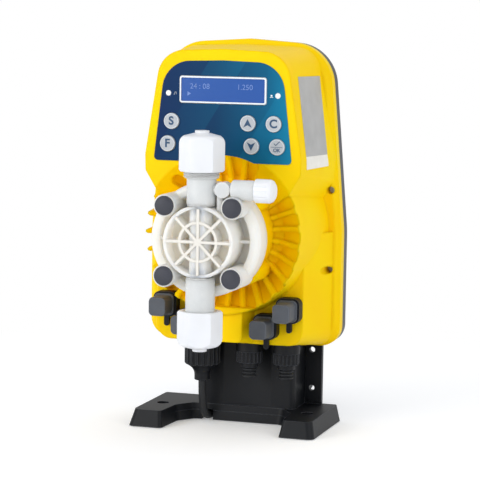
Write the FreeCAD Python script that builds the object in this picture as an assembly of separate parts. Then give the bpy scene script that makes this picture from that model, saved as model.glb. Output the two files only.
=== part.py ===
import FreeCAD, Part
import math
import os

# Solenoid dosing pump on a bench stand, millimetres, +Z up, front of the pump towards -Y.
# Everything is laid out from the housing's face plane (y = 0) and from the floor (z = 0).
# save() then moves it back so that the origin is midway between the hose nuts and the wall face.

os.makedirs("parts", exist_ok=True)

# housing
pump_axis_z = 150.8
housing_depth = 69.0
wall = 3.0
console_top = 287.0
console_half_top = 48.7
console_half_low = 60.8
console_low = 197.0
flange_depth = 9.0
flare = 10.4
drum_r = 60.0
drum_flare = 8.0
lower_front_y = 22.0
lower_half = 58.0
lower_bottom = 66.5
bulge_front_y = 4.0
bulge_half = 16.0
bulge_bottom = 69.5
body_bottom = 62.0
flange_half = 76.6
flange_top = 294.0
flange_shoulder = 64.5
flange_corner_r = 33.0
neck_r = 36.0
neck_front_y = -17.0
core_r = 30.3
cavity_y = 34.0

# cooling fins round the drum
fin_count = 27
fin_thickness = 3.6
fin_tip_r = 62.0
fin_shoulder = 5.5
fin_bulb_r = 58.4
groove_deep = 21.0
closed_grooves = (23, 24)
# the fins fall in a shallow cone towards the head, and none reaches below this height
dish_depth = 14.0
fins_low_z = 96.5
# a groove's depth beside the head and at its outer end, and the radius it ends at, by the grooves' numbers
# clockwise from the right
groove_floors = {
    "right": (range(-4, 3), 17.0, 2.0, fin_tip_r),
    "lower": (range(3, 10), 19.0, 5.0, fin_tip_r),
    "left": (range(10, 16), 31.0, 31.0, fin_tip_r),
    "upper left": (range(17, 18), 20.0, 9.0, fin_tip_r - 4.5),
    "upper": (range(18, 23), 18.0, 3.0, fin_tip_r),
}

# gasket, rear cover and their screws
gasket_thickness = 2.7
rim_inset = 0.3
cover_depth = 9.6
cover_wall = 2.6
cover_chamfer = 2.5
side_screw_inset = 8.4
side_screw_h = (-29.0, 31.5)
side_screw_head_r = 2.6
side_screw_r = 1.5
side_screw_seat = 2.6
corner_screw_inset = 16.0
screw_r = 2.0
screw_head_r = 3.7
screw_head_height = 2.4

# console front
panel_thickness = 0.6
panel_arc_r = 59.5
bezel_width = 68.0
bezel_height = 20.5
bezel_z = 258.3
bezel_rim = 1.5
bezel_proud = 1.4
key_r = 6.0
key_clearance = 0.2
key_proud = 1.5
key_travel = 0.8
key_flange = 1.0
key_flange_r = 7.2
led_r = 1.5
led_x = 42.5
led_z = 255.2
board_y = 12.0
board_thickness = 1.6
relay_size = (18.0, 14.0, 18.0)
relay_place = (-31.0, 241.0)
bridge_size = (18.0, 8.0, 8.0)
bridge_place = (-3.0, 232.0)
can_r = 8.0
can_length = 24.0
can_place = (26.0, 250.0)
choke_r = 6.0
choke_wire_r = 3.2
choke_z = 262.0
switch_height = 2.2
key_places = {
    "key_stop": (-39.7, 234.4),
    "key_function": (-42.6, 217.6),
    "key_clear": (39.7, 234.4),
    "key_ok": (42.6, 217.6),
    "key_up": (19.9, 234.4),
    "key_down": (22.8, 217.6),
}

# pump head
head_r = 42.0
head_back_y = -20.0
head_front_y = -39.0
pocket_floor_y = -27.5
pocket_r = 34.5
ring_out = 26.5
ring_wall = 2.5
ring_front_y = -55.0
inner_floor_y = -43.0
hub_ring_r = 15.0
spoke_thickness = 2.0
spoke_count = 8
channel_r = 8.4
port_r = 2.5
valve_y = -47.0
bolt_offset = 25.6
bolt_r = 2.0
bolt_head_r = 3.5
bolt_boss_r = 8.2
boss_front_y = -54.7
bolt_head_y = -50.0
bolt_cap_r = 7.1
bolt_cap_length = 3.6
bolt_cap_edge = 0.9

# diaphragm, plunger and solenoid
diaphragm_r = 30.0
diaphragm_thickness = 2.0
chamber_r = 19.0
chamber_depth = 2.0
shaft_r = 4.0
running_gap = 0.05
bush_r = 7.0
armature_r = 11.0
armature_length = 17.5
pole_length = 17.0
air_gap = 1.5
yoke_plate = 5.0
yoke_wall = 2.0
coil_length = 37.0
bobbin_wall = 1.5
sleeve_wall = 1.0

# check valves and hose nuts, heights from the pump axis
valve_r = 10.7
valve_seat_h = 26.2
valve_gasket = 1.0
thread_start_h = 45.9
thread_length = 16.1
thread_r = 12.7
socket_depth = 6.0
spigot_r = 6.0
ball_r = 3.5
ball_lift = 1.5
ball_room_r = 5.5
seat_r = 4.9
nut_flats = 28.7
nut_turn = 17.5
nut_start_h = 50.7
nut_roof = 16.4
nut_shoulder_r = 6.5
nut_boss_r = 5.2
nut_boss_height = 1.9
hose_r = 3.1
nipple_r = 2.0

# bleed valve
bleed_h = 38.3
bleed_port_r = 4.2
bleed_seat_x = 11.4
bleed_clearance = 0.3
vent_x = 17.5
vent_r = 5.8
vent_front_y = -53.0
drain_x = 14.5
drain_y = -48.0
drain_r = 2.4
drain_bore_r = 1.2
bleed_body_r = 7.3
bleed_body_x = (24.4, 41.0)
knob_r = 8.6
knob_length = 14.0
knob_flutes = 12
needle_r = 2.5

# signal sockets and their rubber caps
socket_places = {
    "socket_cap_upper_left": (-48.6, 94.4),
    "socket_cap_lower_left": (-30.9, 81.3),
    "socket_cap_lower_right": (30.9, 81.3),
    "socket_cap_upper_right": (48.6, 94.4),
}
socket_width = 18.4
socket_height = 19.0
socket_corner = 5.0
socket_front_y = 13.0
cap_width = 13.5
cap_height = 14.3
cap_front_y = -5.0
cap_skirt = 2.4
cap_wall = 2.0
cap_gap = 0.3
tab_width = 4.0
tab_thickness = 3.0
tab_gap = 1.6
tab_length = 8.0

# cable glands under the body
gland_y = 33.0
gland_seat_z = 67.0
power_gland_x = -24.5
power_nut_r = 13.75
power_nut_z = (47.0, 62.0)
power_end_z = 34.4
power_end_r = 6.0
signal_gland_x = (13.4, 42.6)
signal_nut_r = 10.0
signal_nut_z = (50.5, 59.0)
signal_ring_z = 47.0
boot_end_z = 39.0
boot_r = 5.5
flute_count = 18

# stand
pad_height = 0.6
base_top = 12.9
base_half = 73.5
base_draft = 3.0
front_draft = 5.0
crossbar_draft = 1.0
ledge_z = 7.8
ledge = 0.6
foot_front_y = 1.0
foot_width = 25.2
crossbar_depth = 34.5
column_x = (-31.0, 45.0)
column_depth = 32.7
column_wall = 3.5
column_hollow_r = 85.0
ear_half = 58.7
ear_thickness = 3.3
ear_hole_x = 50.8
ear_hole_z = (25.6, 55.6)
ear_hole_r = 2.2
foot_hole = (58.3, 39.0)
foot_hole_r = 3.0
foot_sink_r = 4.75
pad_r = 2.75
pad_stem_r = 1.6
pad_stem = 3.5
pad_places = ((68.0, 10.5), (53.0, 10.5), (67.5, 76.0))
notch_width = 9.0
notch_height = 8.5
stand_screw_x = (-15.0, 30.0)

# power cord
cord_r = 3.0
coil_mean_r = 33.0
coil_half_width = 9.0
coil_height = 12.0
coil_centre = (-4.0, 131.0)
plug_boot = 16.0
plug_grip = 32.0
plug_width = 26.0
plug_height = 12.4
plug_pin_length = 19.0
plug_pin_pitch = 18.6

flare_y = housing_depth - flange_depth
gasket_back = housing_depth + gasket_thickness
wall_y = gasket_back + cover_depth
side_screws = [(flange_half - side_screw_inset, pump_axis_z + h) for h in side_screw_h]
corner_screws = [(flange_shoulder - corner_screw_inset + 1.5, flange_top - corner_screw_inset - 1.0),
                 (flange_half - corner_screw_inset, body_bottom + corner_screw_inset - 4.0)]
crossbar_y = wall_y - crossbar_depth
column_front_y = wall_y - column_depth
thread_end_h = thread_start_h + thread_length
nut_end_h = thread_end_h + nut_roof
nut_boss_h = nut_end_h + nut_boss_height
nut_corner_r = nut_flats / math.sqrt(3)
nut_reach = valve_y - nut_corner_r * math.cos(math.radians(30 - nut_turn))
origin_y = -(nut_reach + wall_y) / 2

up = FreeCAD.Vector(0, 0, 1)
back = FreeCAD.Vector(0, 1, 0)
right = FreeCAD.Vector(1, 0, 0)


def at(x, y, z):
    return FreeCAD.Vector(x, y, z)


def save(node, *solids):
    """Write one node: one solid, or a group of separate ones."""
    shape = solids[0] if len(solids) == 1 else Part.makeCompound(list(solids))
    shape = shape.copy()
    shape.translate(at(0, origin_y, 0))
    shape.exportStep("parts/" + node + ".step")


def fuse(shapes):
    joined = shapes[0].fuse(list(shapes[1:]))
    return joined.removeSplitter()


def rod(r, start, end):
    """A round bar from one point to another."""
    along = end - start
    return Part.makeCylinder(r, along.Length, start, along)


def tube(outer, inner, start, end):
    return rod(outer, start, end).cut(rod(inner, start, end))


def block(x, y, z):
    """A box between two limits on each axis."""
    return Part.makeBox(x[1] - x[0], y[1] - y[0], z[1] - z[0], at(x[0], y[0], z[0]))


def turned(profile, centre, axis):
    """Turn an outline of (radius, distance along the axis) points round an axis."""
    side = right if abs(axis.dot(up)) > 0.5 else up
    points = [centre + side * r + axis * h for r, h in profile]
    face = Part.Face(Part.makePolygon(points + [points[0]]))
    return face.revolve(centre, axis, 360)


def rounded_wire(corners, place):
    """A closed outline through (a, b, radius) corners, each corner rounded by a tangent arc."""
    count = len(corners)
    starts, ends, middles = [], [], []
    for i, (a, b, r) in enumerate(corners):
        here = at(a, b, 0)
        before = at(*corners[i - 1][:2], 0) - here
        after = at(*corners[(i + 1) % count][:2], 0) - here
        before.normalize()
        after.normalize()
        half = before.getAngle(after) / 2
        reach = r / math.tan(half)
        starts.append(here + before * reach)
        ends.append(here + after * reach)
        inward = before + after
        middles.append(here + inward.normalize() * (r / math.sin(half) - r) if r else here)
    edges = []
    for i in range(count):
        if corners[i][2]:
            arc = Part.Arc(place(starts[i]), place(middles[i]), place(ends[i]))
            edges.append(arc.toShape())
        edges.append(Part.makeLine(place(ends[i]), place(starts[(i + 1) % count])))
    return Part.Wire(edges)


def upright(corners, y):
    """A rounded outline of (x, z, radius) corners in the plane at y."""
    return rounded_wire(corners, lambda p: at(p.x, y, p.y))


def flat(corners, z):
    """A rounded outline of (x, y, radius) corners in the plane at z."""
    return rounded_wire(corners, lambda p: at(p.x, p.y, z))


def loft(*wires):
    return Part.makeLoft(list(wires), True, True)


def plate(corners, y0, y1):
    return Part.Face(upright(corners, y0)).extrude(at(0, y1 - y0, 0))


def slab(corners, z0, z1):
    return Part.Face(flat(corners, z0)).extrude(at(0, 0, z1 - z0))


def mirrored(half):
    """A whole outline from its right half, listed from the top centre down."""
    left = [(-x, z, r) for x, z, r in reversed(half) if abs(x) > 0.001]
    return half + left


def oblong(width, height, r, centre=(0.0, 0.0)):
    a, b = width / 2, height / 2
    x, z = centre
    return [(x + a, z + b, r), (x + a, z - b, r), (x - a, z - b, r), (x - a, z + b, r)]


def cylinder_y(r, y0, y1, x=0.0, z=pump_axis_z):
    return rod(r, at(x, y0, z), at(x, y1, z))


def ring_y(outer, inner, y0, y1):
    return cylinder_y(outer, y0, y1).cut(cylinder_y(inner, y0, y1))


def level(h):
    """Height above the floor of a height given from the pump axis."""
    return pump_axis_z + h


def both_sides(places):
    return [(side * x, z) for x, z in places for side in (-1, 1)]


def console_outline(spread, inset=0.0, low=console_low):
    """Console outline; spread is how far it has flared, inset how far inside it the outline lies."""
    crown = console_top + 0.3 * spread - inset
    half_top = console_half_top + 0.7 * spread - inset
    half_low = console_half_low + spread - inset
    ledge = low - 0.8 * spread + inset
    corner = 21.0 - inset
    return mirrored([
        (0.0, crown + 1.6, 0.0),
        (half_top, crown - 0.4, corner),
        (half_low, 209.0, 10.0),
        (half_low - 0.4, ledge, 4.0),
        (half_low - 10.8, ledge - 17.0, 0.0),
    ])


def flange_outline(inset=0.0):
    low_half = flange_half - inset
    return mirrored([
        (0.0, flange_top + 1.6 - inset, 0.0),
        (flange_shoulder - inset, flange_top - 2.6 - inset, flange_corner_r),
        (low_half, pump_axis_z, 120.0),
        (low_half, body_bottom + inset, 15.0),
    ])


def lower_outline(half, bottom, top=pump_axis_z, corner=12.0):
    return [(half, top, 0.0), (half, bottom, corner), (-half, bottom, corner), (-half, top, 0.0)]


def groove_cutter(inner_depth, outer_depth, tip_r, through):
    """A wedge-shaped cutter between two fins at the right; a through groove leaves rounded fin ends."""
    half_pitch = math.pi / fin_count
    inner_r = neck_r - 2.0
    top = -1.0

    def half_gap(r):
        return r * math.sin(half_pitch) - fin_thickness / 2

    if through:
        end_r = drum_r + drum_flare
        side = [(inner_r, half_gap(inner_r)), (fin_bulb_r, half_gap(fin_bulb_r)),
                (drum_r - 0.3, half_gap(drum_r) + 0.9), (end_r, half_gap(end_r) + 0.9)]
        points = [at(r, top, gap) for r, gap in side] + [at(r, top, -gap) for r, gap in reversed(side)]
        outline = Part.makePolygon(points + [points[0]])
    else:
        shoulder_r = tip_r - fin_shoulder
        corners = [at(inner_r, top, -half_gap(inner_r)), at(shoulder_r, top, -half_gap(shoulder_r)),
                   at(shoulder_r, top, half_gap(shoulder_r)), at(inner_r, top, half_gap(inner_r))]
        tip = Part.Arc(corners[1], at(tip_r, top, 0), corners[2]).toShape()
        outline = Part.Wire([tip, Part.makeLine(corners[2], corners[3]),
                             Part.makeLine(corners[3], corners[0]), Part.makeLine(corners[0], corners[1])])
    wedge = Part.Face(outline).extrude(at(0, inner_depth + 2, 0))
    wedge.translate(at(0, 0, pump_axis_z))
    reach = drum_r + drum_flare + 1
    depth = turned([(inner_r - 1, top), (reach, top), (reach, outer_depth), (tip_r, outer_depth),
                    (neck_r + 8, inner_depth), (inner_r - 1, inner_depth)],
                   at(0, 0, pump_axis_z), back)
    return wedge.common(depth)


def groove_cutters():
    """The dish that the fins fall away into, and the grooves between them, open at the left."""
    slope = dish_depth / (fin_tip_r - head_r)
    dish = turned([(0, -2), (fin_tip_r + 2 / slope, -2), (head_r, dish_depth), (0, dish_depth)],
                  at(0, 0, pump_axis_z), back)
    cutters = [dish]
    for side, (numbers, inner_depth, outer_depth, tip_r) in groove_floors.items():
        cutter = groove_cutter(inner_depth, outer_depth, tip_r, side == "left")
        for k in numbers:
            if k % fin_count not in closed_grooves:
                turned_cutter = cutter.copy()
                turned_cutter.rotate(at(0, 0, pump_axis_z), back, 360.0 * k / fin_count)
                cutters.append(turned_cutter)
    below = block((-drum_r - drum_flare - 2, drum_r + drum_flare + 2), (-3, cavity_y), (0, fins_low_z))
    return [cutter.cut(below) for cutter in cutters]


def front_housing():
    face = upright(console_outline(0), 0)
    console = loft(face, upright(console_outline(flare), flare_y))
    drum = Part.makeCone(drum_r, drum_r + drum_flare, flare_y, at(0, 0, pump_axis_z), back)
    lower_end = lower_outline(lower_half + 14.0, body_bottom + 1.0)
    lower = loft(upright(lower_outline(lower_half, lower_bottom), lower_front_y),
                 upright(lower_end, flare_y))
    bulge = loft(upright(lower_outline(bulge_half, bulge_bottom, corner=5.0), bulge_front_y),
                 upright(lower_outline(bulge_half + 5, lower_bottom, corner=5.0), lower_front_y + 1))
    lip = loft(upright(flange_outline(4.0), flare_y - 3), upright(flange_outline(), flare_y + 1))
    flange = plate(flange_outline(), flare_y + 1, housing_depth)
    outside = fuse([console, drum, lower, bulge, lip, flange])
    outside = outside.cut(groove_cutters())

    bosses = [cylinder_y(bolt_boss_r, neck_front_y, groove_deep + 2, x, level(z))
              for x, z in both_sides([(bolt_offset, bolt_offset), (bolt_offset, -bolt_offset)])]
    neck = cylinder_y(neck_r, neck_front_y, groove_deep + 2)
    body = fuse([outside, neck] + bosses)

    console_room = loft(upright(console_outline(0, wall), wall),
                        upright(console_outline(flare * 1.15, wall + 1), housing_depth))
    console_room = console_room.cut(cylinder_y(fin_tip_r + wall, 0, cavity_y))
    drum_room = cylinder_y(drum_r - wall, cavity_y, housing_depth)
    lower_room = loft(
        upright(lower_outline(lower_half - wall, gland_seat_z + 5, corner=8.0), cavity_y),
        upright(lower_outline(flange_half - 12, gland_seat_z + 5, corner=8.0), housing_depth))
    core_room = cylinder_y(core_r, neck_front_y + wall, housing_depth)
    body = body.cut([console_room, drum_room, lower_room, core_room])

    window = plate(oblong(bezel_width - 2 * bezel_rim, bezel_height - 2 * bezel_rim, 1.0,
                          (0.0, bezel_z)), -1, wall + 1)
    key_holes = [cylinder_y(key_r + key_clearance, -1, wall + 1, x, z)
                 for x, z in key_places.values()]
    led_holes = [cylinder_y(led_r + 0.05, -1, wall + 1, x, led_z) for x in (-led_x, led_x)]
    bush_hole = cylinder_y(bush_r, neck_front_y - 1, neck_front_y + wall + 1)
    bolt_holes = [cylinder_y(bolt_r, neck_front_y - 1, groove_deep - 3, x, level(z))
                  for x, z in both_sides([(bolt_offset, bolt_offset), (bolt_offset, -bolt_offset)])]
    key_wells = [cylinder_y(key_flange_r + key_clearance, wall, board_y, x, z)
                 for x, z in key_places.values()]
    body = body.cut([window, bush_hole] + key_holes + key_wells + led_holes + bolt_holes)

    gland_seats = [rod(r, at(x, gland_y, body_bottom - 1), at(x, gland_y, gland_seat_z))
                   for x, r in gland_seat_sizes()]
    gland_holes = [rod(r, at(x, gland_y, gland_seat_z - 1), at(x, gland_y, gland_seat_z + 12))
                   for x, r in gland_hole_sizes()]
    screw_wells = []
    for x, z in both_sides(side_screws):
        screw_wells.append(cylinder_y(side_screw_head_r + 0.3, 0, housing_depth - side_screw_seat, x, z))
        screw_wells.append(cylinder_y(side_screw_r + 0.1, 0, housing_depth + 1, x, z))
    for x, z in both_sides(corner_screws):
        screw_wells.append(cylinder_y(screw_r, housing_depth - 8, housing_depth + 1, x, z))
    stand_holes = [rod(screw_r, at(x, stand_screw_y(), body_bottom - 1),
                       at(x, stand_screw_y(), body_bottom + 8)) for x in stand_screw_x]
    return body.cut(gland_seats + gland_holes + screw_wells + stand_holes)


def gland_seat_sizes():
    return [(power_gland_x, power_nut_r + 0.5)] + [(x, signal_nut_r + 0.9) for x in signal_gland_x]


def gland_hole_sizes():
    return [(power_gland_x, 8.0)] + [(x, 6.5) for x in signal_gland_x]


def stand_screw_y():
    return flare_y + 4.5


def make_housing():
    save("front_housing", front_housing())
    gasket = plate(flange_outline(rim_inset), housing_depth, gasket_back)
    opening = plate(flange_outline(14.0), housing_depth - 1, gasket_back + 1)
    holes = [cylinder_y(screw_r + 0.1, housing_depth - 1, gasket_back + 1, x, z)
             for x, z in both_sides(side_screws + corner_screws)]
    save("rear_gasket", gasket.cut([opening] + holes))

    shell = plate(flange_outline(rim_inset), gasket_back, wall_y - cover_chamfer)
    step = loft(upright(flange_outline(rim_inset), wall_y - cover_chamfer),
                upright(flange_outline(rim_inset + cover_chamfer), wall_y))
    room = plate(flange_outline(14.0), gasket_back - 1, wall_y - cover_wall)
    wells = []
    for x, z in both_sides(corner_screws):
        wells.append(cylinder_y(screw_r + 0.1, gasket_back - 1, wall_y + 1, x, z))
        wells.append(cylinder_y(screw_head_r + 0.3, wall_y - 4, wall_y + 1, x, z))
    for x, z in both_sides(side_screws):
        wells.append(cylinder_y(side_screw_r, gasket_back - 1, gasket_back + 5, x, z))
    save("rear_cover", fuse([shell, step]).cut([room] + wells))

    front = [pan_screw(at(x, housing_depth - side_screw_seat, z), back, side_screw_seat + gasket_thickness + 5,
                       side_screw_head_r, side_screw_r)
             for x, z in both_sides(side_screws)]
    rear = [pan_screw(at(x, wall_y - 4, z), back * -1, wall_y - 4 - housing_depth + 7)
            for x, z in both_sides(corner_screws)]
    save("housing_screws", *(front + rear))


def pan_screw(under_head, way, length, head_r=screw_head_r, shank_r=screw_r):
    """A pan-head screw whose head sits behind under_head, with a cross-shaped drive recess."""
    top = under_head - way * screw_head_height
    head = rod(head_r, under_head, top).fuse(rod(shank_r, under_head, under_head + way * length))
    side = up.cross(way) if abs(way.z) < 0.5 else right
    other = way.cross(side)
    for a, b in ((side, other), (other, side)):
        long, narrow = a * (head_r * 0.6), b * (head_r * 0.14)
        points = [top - long - narrow, top + long - narrow, top + long + narrow, top - long + narrow]
        slot = Part.Face(Part.makePolygon(points + [points[0]])).extrude(way * 1.2)
        head = head.cut(slot)
    return head


def make_console():
    outline = mirrored([(0.0, 280.2, 0.0), (45.2, 278.8, 22.0), (53.8, 204.9, 3.0)])
    panel = plate(outline, -panel_thickness, 0)
    holes = [cylinder_y(key_r + key_clearance, -2, 1, x, z) for x, z in key_places.values()]
    holes += [cylinder_y(led_r + 0.05, -2, 1, x, led_z) for x in (-led_x, led_x)]
    holes.append(cylinder_y(panel_arc_r, -2, 1))
    holes.append(plate(oblong(bezel_width, bezel_height, 2.0, (0.0, bezel_z)), -2, 1))
    save("keypad_panel", panel.cut(holes))

    inner = (bezel_width - 2 * bezel_rim, bezel_height - 2 * bezel_rim)
    bezel = loft(upright(oblong(bezel_width - 0.1, bezel_height - 0.1, 2.0, (0.0, bezel_z)), 0),
                 upright(oblong(bezel_width - 1, bezel_height - 1, 1.8, (0.0, bezel_z)), -bezel_proud))
    bezel = bezel.cut(plate(oblong(*inner, 1.0, (0.0, bezel_z)), -bezel_proud - 1, 1))
    save("display_bezel", bezel)
    lens = plate(oblong(inner[0] - 0.1, inner[1] - 0.1, 1.0, (0.0, bezel_z)), -0.6, 0.9)
    save("display_window", lens)
    glass = plate(oblong(inner[0] - 2, inner[1] - 2, 0.5, (0.0, bezel_z)), 0.9, 4.0)
    carrier = plate(oblong(bezel_width + 6, bezel_height + 8, 1.0, (0.0, bezel_z)), 4.0, 5.6)
    carrier = carrier.cut([cylinder_y(led_r + 1, 3, 7, x, led_z) for x in (-led_x, led_x)])
    posts = [cylinder_y(1.8, 5.6, board_y, x, bezel_z + z) for x in (-33, 33) for z in (-11, 11)]
    save("display_module", fuse([glass, carrier] + posts))

    board = plate(mirrored([(0.0, 280.5, 0.0), (42.0, 280.0, 16.0), (52.0, 209.0, 3.0)]),
                  board_y, board_y + board_thickness)
    board = board.cut(cylinder_y(fin_tip_r + wall + 2, board_y - 1, board_y + 4))
    save("control_board", board)
    switches = [plate(oblong(6, 6, 0.5, place), board_y - switch_height, board_y)
                for place in key_places.values()]
    rear = board_y + board_thickness
    cases = []
    for (width, depth, height), place in ((relay_size, relay_place), (bridge_size, bridge_place)):
        cases.append(plate(oblong(width, height, 0.6, place), rear, rear + depth))
    can = cylinder_y(can_r, rear, rear + can_length, *can_place)
    choke = Part.makeTorus(choke_r, choke_wire_r, at(0, rear + choke_wire_r, choke_z), back)
    save("board_components", can, choke, *(cases + switches))
    for node, (x, z) in key_places.items():
        save(node, key(x, z))
    leds = []
    for x in (-led_x, led_x):
        dome = Part.makeSphere(led_r, at(x, -panel_thickness, led_z))
        leds.append(dome.fuse(cylinder_y(led_r, -panel_thickness, board_y, x, led_z)))
    save("status_lights", *leds)


def key(x, z):
    """A round key: domed cap through the face, a flange behind it and a stem to its switch."""
    front = -panel_thickness - key_proud
    behind = wall + 0.4 + key_travel
    cap = cylinder_y(key_r, front, behind, x, z)
    rim = [edge for edge in cap.Edges if abs(edge.BoundBox.YMax - front) < 0.01
           and edge.BoundBox.XLength > key_r]
    cap = cap.makeFillet(0.7, rim)
    flange = cylinder_y(key_flange_r, wall + 0.3, wall + 0.3 + key_flange, x, z)
    stem = cylinder_y(1.8, wall, board_y - switch_height - key_travel - 0.1, x, z)
    return fuse([cap, flange, stem])


def make_head():
    profile = [(0, head_back_y), (head_r, head_back_y), (head_r, head_front_y + 3.5),
               (head_r - 1.2, head_front_y + 1), (head_r - 3.5, head_front_y),
               (pocket_r, head_front_y), (pocket_r - 1, pocket_floor_y), (ring_out, pocket_floor_y),
               (ring_out, ring_front_y + 0.6), (ring_out - 0.6, ring_front_y),
               (ring_out - ring_wall + 0.4, ring_front_y), (ring_out - ring_wall, ring_front_y + 0.4),
               (ring_out - ring_wall, inner_floor_y), (0, inner_floor_y)]
    body = turned(profile, at(0, 0, pump_axis_z), back)
    adds = [cylinder_y(bolt_boss_r, boss_front_y, pocket_floor_y, x, level(z))
            for x, z in bolt_places()]
    for side in (-1, 1):
        adds.append(block(sorted((side * (ring_out - 1), side * (pocket_r + 0.5))),
                          (head_front_y + 1, pocket_floor_y),
                          (pump_axis_z - 1, pump_axis_z + 1)))
    inside = ring_out - ring_wall
    adds.append(ring_y(hub_ring_r, hub_ring_r - 2, ring_front_y + 1, inner_floor_y))
    for k in range(spoke_count // 2):
        spoke = block((-inside - 1, inside + 1), (ring_front_y + 1, inner_floor_y),
                      (pump_axis_z - spoke_thickness / 2, pump_axis_z + spoke_thickness / 2))
        spoke.rotate(at(0, 0, pump_axis_z), back, 360.0 / spoke_count * k)
        adds.append(spoke)
    channel = rod(channel_r, at(0, valve_y, level(-valve_seat_h)), at(0, valve_y, level(valve_seat_h)))
    behind_spokes = block((-channel_r - 1, channel_r + 1), (ring_front_y + 1.1, head_back_y),
                          (level(-valve_seat_h - 1), level(valve_seat_h + 1)))
    adds.append(channel.common(behind_spokes))
    body = fuse([body] + adds)

    cuts = [cylinder_y(diaphragm_r, head_back_y - diaphragm_thickness, head_back_y + 1),
            cylinder_y(chamber_r, head_back_y - diaphragm_thickness - chamber_depth, head_back_y + 1),
            cylinder_y(port_r, valve_y, head_back_y)]
    for side in (-1, 1):
        cuts.append(rod(port_r, at(0, valve_y, pump_axis_z), at(0, valve_y, level(side * valve_seat_h))))
        cuts.append(rod(spigot_r + running_gap, at(0, valve_y, level(side * (valve_seat_h - socket_depth))),
                        at(0, valve_y, level(side * (valve_seat_h + 1)))))
        cuts.append(rod(valve_r + bleed_clearance, at(0, valve_y, level(side * valve_seat_h)),
                        at(0, valve_y, level(side * thread_start_h))))
    for x, z in bolt_places():
        cuts.append(cylinder_y(bolt_r + 0.15, boss_front_y - 1, head_back_y + 1, x, level(z)))
        cuts.append(cylinder_y(bolt_head_r + 0.2, boss_front_y - 1, bolt_head_y, x, level(z)))
    cuts.append(rod(bleed_body_r + bleed_clearance, at(bleed_seat_x + 2, valve_y, level(bleed_h)),
                    at(head_r + 8, valve_y, level(bleed_h))))
    save("pump_head", body.cut(cuts))

    plate_holes = [cylinder_y(bolt_r + 0.15, head_back_y - 1, neck_front_y + 1, x, level(z))
                   for x, z in bolt_places()]
    disc = cylinder_y(head_r - 1.5, head_back_y, neck_front_y).cut(
        [cylinder_y(bush_r + 3, head_back_y - 1, neck_front_y + 1)] + plate_holes)
    save("backing_plate", disc)

    bolts, caps = [], []
    for x, z in bolt_places():
        centre = (x, level(z))
        head = cylinder_y(bolt_head_r, bolt_head_y - 2 * bolt_r, bolt_head_y, *centre)
        socket = Part.Face(hex_wire(1.5, centre, bolt_head_y - 2 * bolt_r)).extrude(at(0, 2, 0))
        shank = cylinder_y(bolt_r, bolt_head_y, groove_deep - 4, *centre)
        bolts.append(fuse([head, shank]).cut(socket))
        caps.append(bolt_cap(*centre))
    save("head_bolts", *bolts)
    save("bolt_caps", *caps)


def bolt_places():
    return both_sides([(bolt_offset, bolt_offset), (bolt_offset, -bolt_offset)])


def hex_wire(across_flats_r, centre, y):
    corner = across_flats_r / math.cos(math.pi / 6)
    points = [at(centre[0] + corner * math.cos(math.radians(60 * k)), y,
                 centre[1] + corner * math.sin(math.radians(60 * k))) for k in range(6)]
    return Part.makePolygon(points + [points[0]])


def bolt_cap(x, z):
    """A domed plastic cap that plugs the well of a bolt head."""
    dome = [(bolt_cap_r * math.sin(math.radians(t)),
             boss_front_y - bolt_cap_edge - (bolt_cap_length - bolt_cap_edge) * math.cos(math.radians(t)))
            for t in range(0, 91, 15)]
    return turned(dome + [(bolt_cap_r, boss_front_y), (bolt_head_r, boss_front_y),
                   (bolt_head_r, boss_front_y + 0.6), (0, boss_front_y + 0.6)], at(x, 0, z), back)


def make_drive():
    """Diaphragm, plunger and solenoid, from the head backwards."""
    hub_back = neck_front_y - 0.5
    disc = cylinder_y(diaphragm_r - 0.1, head_back_y - diaphragm_thickness, head_back_y)
    hub = cylinder_y(bush_r + 1, head_back_y, hub_back)
    save("diaphragm", disc.fuse(hub))

    plate_y = neck_front_y + wall
    coil_y = plate_y + yoke_plate
    pole_end = coil_y + pole_length
    armature_y = pole_end + air_gap
    armature_end = armature_y + armature_length
    coil_end = coil_y + coil_length
    rear_end = coil_end + yoke_plate

    save("plunger_shaft", cylinder_y(shaft_r, hub_back, armature_end))
    save("plunger_armature", ring_y(armature_r, shaft_r, armature_y, armature_end))
    save("plunger_bush", ring_y(bush_r, shaft_r + running_gap, neck_front_y, coil_y))
    front_plate = ring_y(core_r, bush_r, plate_y, coil_y)
    spring_r = armature_r - 3
    spring_start = pole_end - 8
    pole = ring_y(armature_r, shaft_r + 0.6, coil_y, pole_end)
    save("pole_piece", pole.cut(cylinder_y(spring_r, spring_start, pole_end + 1)))
    save("guide_sleeve", ring_y(armature_r + running_gap + sleeve_wall, armature_r + running_gap,
                                coil_y, rear_end))
    save("return_spring", disc_springs(shaft_r + 0.9, spring_r - 0.6, spring_start, armature_y, 6))

    bobbin_r = armature_r + running_gap + sleeve_wall
    flange_r = core_r - yoke_wall - 0.3
    bobbin = ring_y(flange_r, bobbin_r, coil_y, coil_end)
    winding = ring_y(flange_r - 1, bobbin_r + bobbin_wall, coil_y + bobbin_wall, coil_end - bobbin_wall)
    room = ring_y(flange_r + 1, bobbin_r + bobbin_wall, coil_y + bobbin_wall, coil_end - bobbin_wall)
    save("coil_bobbin", bobbin.cut(room))
    save("coil_winding", winding)
    yoke_shell = ring_y(core_r, core_r - yoke_wall, coil_y, coil_end)
    rear_plate = ring_y(core_r, bobbin_r, coil_end, rear_end)
    save("solenoid_yoke", front_plate, yoke_shell, rear_plate)
    stop = cylinder_y(armature_r - 3, armature_end + 0.3, rear_end).fuse(
        cylinder_y(bobbin_r + 4, rear_end, rear_end + 3))
    save("end_stop", stop)


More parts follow.
